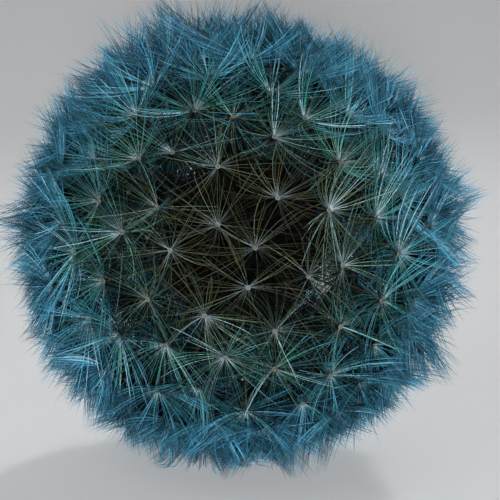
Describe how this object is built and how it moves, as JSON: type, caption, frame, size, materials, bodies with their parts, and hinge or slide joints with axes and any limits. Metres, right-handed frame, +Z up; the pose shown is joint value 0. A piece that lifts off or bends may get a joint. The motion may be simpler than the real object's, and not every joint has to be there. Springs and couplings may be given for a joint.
{
  "type": "dandelion seed head",
  "caption": "Dandelion seed head, picked with its hollow stalk and lying on its side: a ball of parachute seeds on a receptacle, with folded-back bracts.",
  "frame": {"origin": "on the table, under the middle of the object's box", "axes": "+Z up from the table, +Y along the stalk from the head towards its cut end, -Y the way the head's apex faces"},
  "size_m": [0.0468, 0.143, 0.0464],
  "materials": {
    "seed": "fine silky hairs on thread-like tan beaks, over small ribbed brown fruits",
    "stalk": "fresh pale green stalk with a reddish flush and fine lengthwise grain, satin",
    "bract": "dry, papery, olive green with brown tips and pale edges"
  },
  "bodies": {
    "root": {"inner_bract_01": "bract", "inner_bract_02": "bract", "inner_bract_03": "bract", "inner_bract_04": "bract", "inner_bract_05": "bract", "inner_bract_06": "bract", "inner_bract_07": "bract", "inner_bract_08": "bract", "inner_bract_09": "bract", "inner_bract_10": "bract", "inner_bract_11": "bract", "inner_bract_12": "bract", "inner_bract_13": "bract", "outer_bract_01": "bract", "outer_bract_02": "bract", "outer_bract_03": "bract", "outer_bract_04": "bract", "outer_bract_05": "bract", "outer_bract_06": "bract", "outer_bract_07": "bract", "outer_bract_08": "bract", "seed_row_01": "seed", "seed_row_02": "seed", "seed_row_03": "seed", "seed_row_04": "seed", "seed_row_05": "seed", "seed_row_06": "seed", "seed_row_07": "seed", "seed_row_08": "seed", "seed_row_09": "seed", "seed_row_10": "seed", "seed_row_11": "seed", "seed_row_12": "seed", "seed_row_13": "seed", "seed_row_14": "seed", "seed_row_15": "seed", "seed_row_16": "seed", "seed_row_17": "seed", "seed_row_18": "seed", "seed_row_19": "seed", "seed_row_20": "seed", "seed_row_21": "seed", "seed_row_22": "seed", "seed_row_23": "seed", "seed_row_24": "seed", "seed_row_25": "seed", "seed_row_26": "seed", "seed_row_27": "seed", "seed_row_28": "seed", "seed_row_29": "seed", "seed_row_30": "seed", "seed_row_31": "seed", "seed_row_32": "seed", "seed_row_33": "seed", "seed_row_34": "seed", "stalk_and_receptacle": "stalk"}
  },
  "joints": []
}
